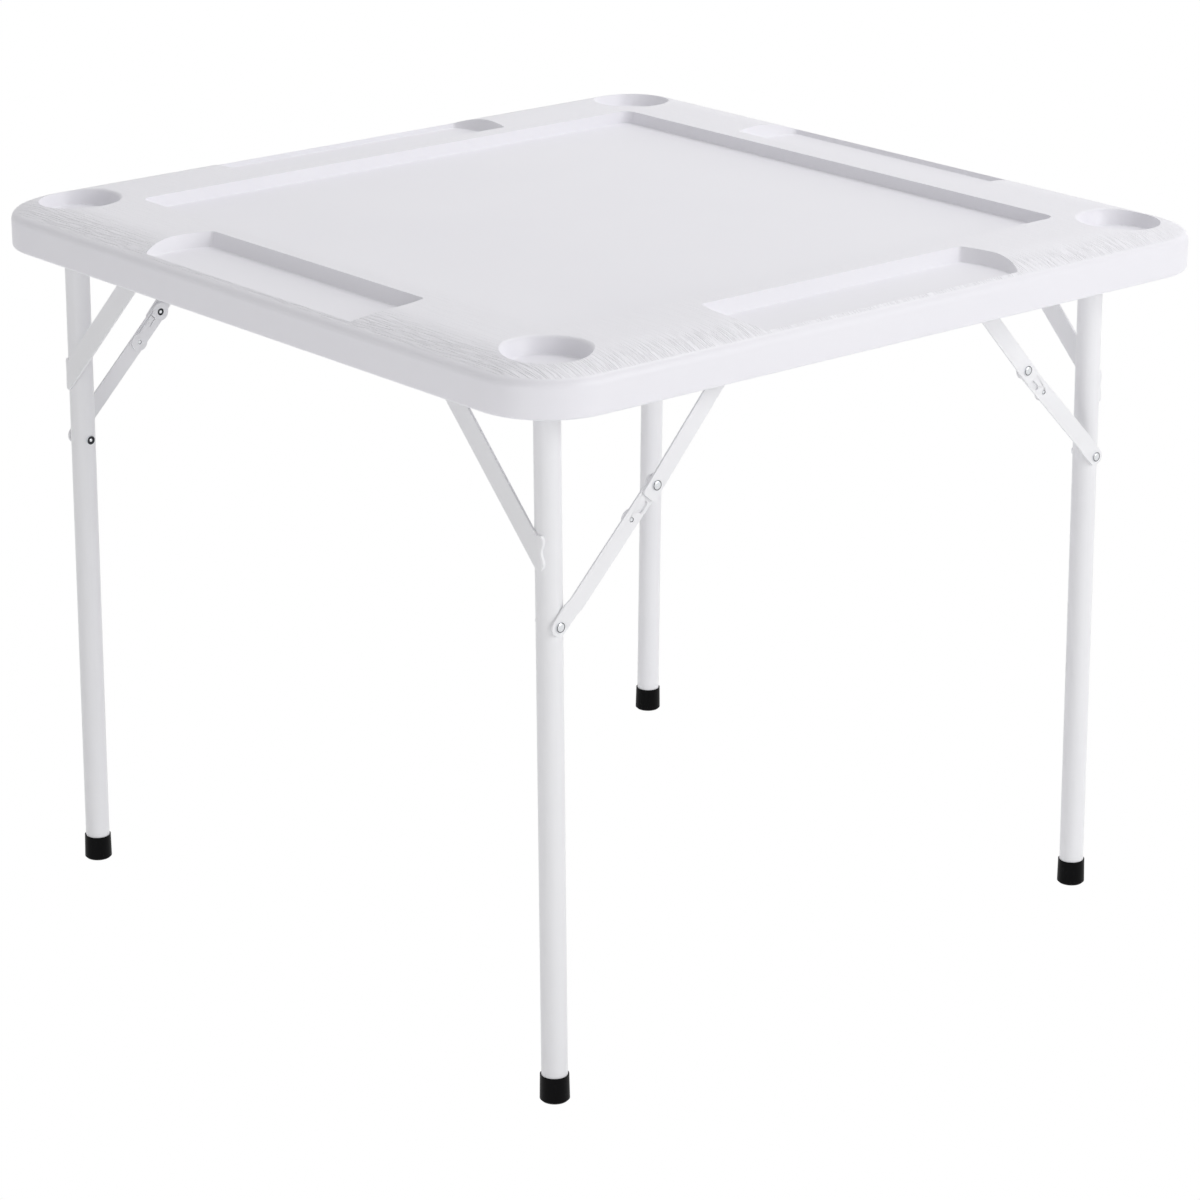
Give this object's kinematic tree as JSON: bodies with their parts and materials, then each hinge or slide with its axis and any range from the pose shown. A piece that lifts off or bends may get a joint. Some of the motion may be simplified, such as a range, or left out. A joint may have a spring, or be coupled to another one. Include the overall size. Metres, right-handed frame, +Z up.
{
  "type": "folding card table",
  "caption": "Square folding card table: moulded white top with sunken play field, trays and cup holders, on tube legs that fold flat on locking braces.",
  "frame": {"origin": "floor centre, under the middle of the top", "axes": "+Z up, +X across the table towards the narrower right leg frame, -Y the front; both leg frames hinge about Y"},
  "size_m": [0.88, 0.88, 0.724],
  "materials": {
    "white_resin": "moulded, satin",
    "white_painted_steel": "powder coat, satin",
    "zinc_steel": "zinc plated",
    "black_rubber": "moulded",
    "black_plastic": "moulded"
  },
  "bodies": {
    "root": {"tabletop": "white_resin", "strap_screws": "zinc_steel", "anchor_screws": "zinc_steel", "anchor_rivets": "zinc_steel", "left_front_hinge_strap": "white_painted_steel", "left_front_anchor": "white_painted_steel", "left_rear_hinge_strap": "white_painted_steel", "left_rear_anchor": "white_painted_steel", "right_front_hinge_strap": "white_painted_steel", "right_front_anchor": "white_painted_steel", "right_rear_hinge_strap": "white_painted_steel", "right_rear_anchor": "white_painted_steel"},
    "left_frame": {"left_cross_tube": "white_painted_steel", "left_end_plugs": "black_plastic", "left_leg_rivets": "zinc_steel", "left_front_leg": "white_painted_steel", "left_front_foot_cap": "black_rubber", "left_front_gusset": "white_painted_steel", "left_rear_leg": "white_painted_steel", "left_rear_foot_cap": "black_rubber", "left_rear_gusset": "white_painted_steel"},
    "left_front_lower_brace": {"left_front_lower_link": "white_painted_steel", "left_front_lock_plate": "white_painted_steel", "left_front_lock_rivet": "zinc_steel", "left_front_joint_rivet_inner": "zinc_steel"},
    "left_front_upper_brace": {"left_front_upper_link": "white_painted_steel", "left_front_joint_rivet_outer": "zinc_steel"},
    "left_rear_lower_brace": {"left_rear_lower_link": "white_painted_steel", "left_rear_lock_plate": "white_painted_steel", "left_rear_lock_rivet": "zinc_steel", "left_rear_joint_rivet_inner": "zinc_steel"},
    "left_rear_upper_brace": {"left_rear_upper_link": "white_painted_steel", "left_rear_joint_rivet_outer": "zinc_steel"},
    "right_frame": {"right_cross_tube": "white_painted_steel", "right_end_plugs": "black_plastic", "right_leg_rivets": "zinc_steel", "right_front_leg": "white_painted_steel", "right_front_foot_cap": "black_rubber", "right_front_gusset": "white_painted_steel", "right_rear_leg": "white_painted_steel", "right_rear_foot_cap": "black_rubber", "right_rear_gusset": "white_painted_steel"},
    "right_front_lower_brace": {"right_front_lower_link": "white_painted_steel", "right_front_lock_plate": "white_painted_steel", "right_front_lock_rivet": "zinc_steel", "right_front_joint_rivet_inner": "zinc_steel"},
    "right_front_upper_brace": {"right_front_upper_link": "white_painted_steel", "right_front_joint_rivet_outer": "zinc_steel"},
    "right_rear_lower_brace": {"right_rear_lower_link": "white_painted_steel", "right_rear_lock_plate": "white_painted_steel", "right_rear_lock_rivet": "zinc_steel", "right_rear_joint_rivet_inner": "zinc_steel"},
    "right_rear_upper_brace": {"right_rear_upper_link": "white_painted_steel", "right_rear_joint_rivet_outer": "zinc_steel"}
  },
  "joints": [
    {"name": "left_fold", "type": "hinge", "parent": "root", "child": "left_frame", "pos_m": [-0.3725, 0, 0.689], "axis": [0, -1, 0], "range_deg": [0, 90]},
    {"name": "left_front_lower_brace_turn", "type": "hinge", "parent": "left_frame", "child": "left_front_lower_brace", "pos_m": [-0.3725, -0.39007, 0.47], "axis": [0, -1, 0], "range_deg": [0, 45]},
    {"name": "left_front_upper_brace_turn", "type": "hinge", "parent": "root", "child": "left_front_upper_brace", "pos_m": [-0.16728, -0.39447, 0.689], "axis": [0, 1, 0], "range_deg": [0, 49]},
    {"name": "left_rear_lower_brace_turn", "type": "hinge", "parent": "left_frame", "child": "left_rear_lower_brace", "pos_m": [-0.3725, 0.39007, 0.47], "axis": [0, -1, 0], "range_deg": [0, 45]},
    {"name": "left_rear_upper_brace_turn", "type": "hinge", "parent": "root", "child": "left_rear_upper_brace", "pos_m": [-0.16728, 0.39447, 0.689], "axis": [0, 1, 0], "range_deg": [0, 49]},
    {"name": "right_fold", "type": "hinge", "parent": "root", "child": "right_frame", "pos_m": [0.3725, 0, 0.6902], "axis": [0, 1, 0], "range_deg": [0, 90]},
    {"name": "right_front_lower_brace_turn", "type": "hinge", "parent": "right_frame", "child": "right_front_lower_brace", "pos_m": [0.3725, -0.34807, 0.4712], "axis": [0, 1, 0], "range_deg": [0, 45]},
    {"name": "right_front_upper_brace_turn", "type": "hinge", "parent": "root", "child": "right_front_upper_brace", "pos_m": [0.16728, -0.35247, 0.6902], "axis": [0, -1, 0], "range_deg": [0, 49]},
    {"name": "right_rear_lower_brace_turn", "type": "hinge", "parent": "right_frame", "child": "right_rear_lower_brace", "pos_m": [0.3725, 0.34807, 0.4712], "axis": [0, 1, 0], "range_deg": [0, 45]},
    {"name": "right_rear_upper_brace_turn", "type": "hinge", "parent": "root", "child": "right_rear_upper_brace", "pos_m": [0.16728, 0.35247, 0.6902], "axis": [0, -1, 0], "range_deg": [0, 49]}
  ],
  "couplings": [
    {"joint": "left_front_lower_brace_turn", "follows": "left_fold", "ratio": 0.49444},
    {"joint": "left_front_upper_brace_turn", "follows": "left_fold", "ratio": 0.53724},
    {"joint": "left_rear_lower_brace_turn", "follows": "left_fold", "ratio": 0.49444},
    {"joint": "left_rear_upper_brace_turn", "follows": "left_fold", "ratio": 0.53724},
    {"joint": "right_front_lower_brace_turn", "follows": "right_fold", "ratio": 0.49444},
    {"joint": "right_front_upper_brace_turn", "follows": "right_fold", "ratio": 0.53724},
    {"joint": "right_rear_lower_brace_turn", "follows": "right_fold", "ratio": 0.49444},
    {"joint": "right_rear_upper_brace_turn", "follows": "right_fold", "ratio": 0.53724}
  ]
}
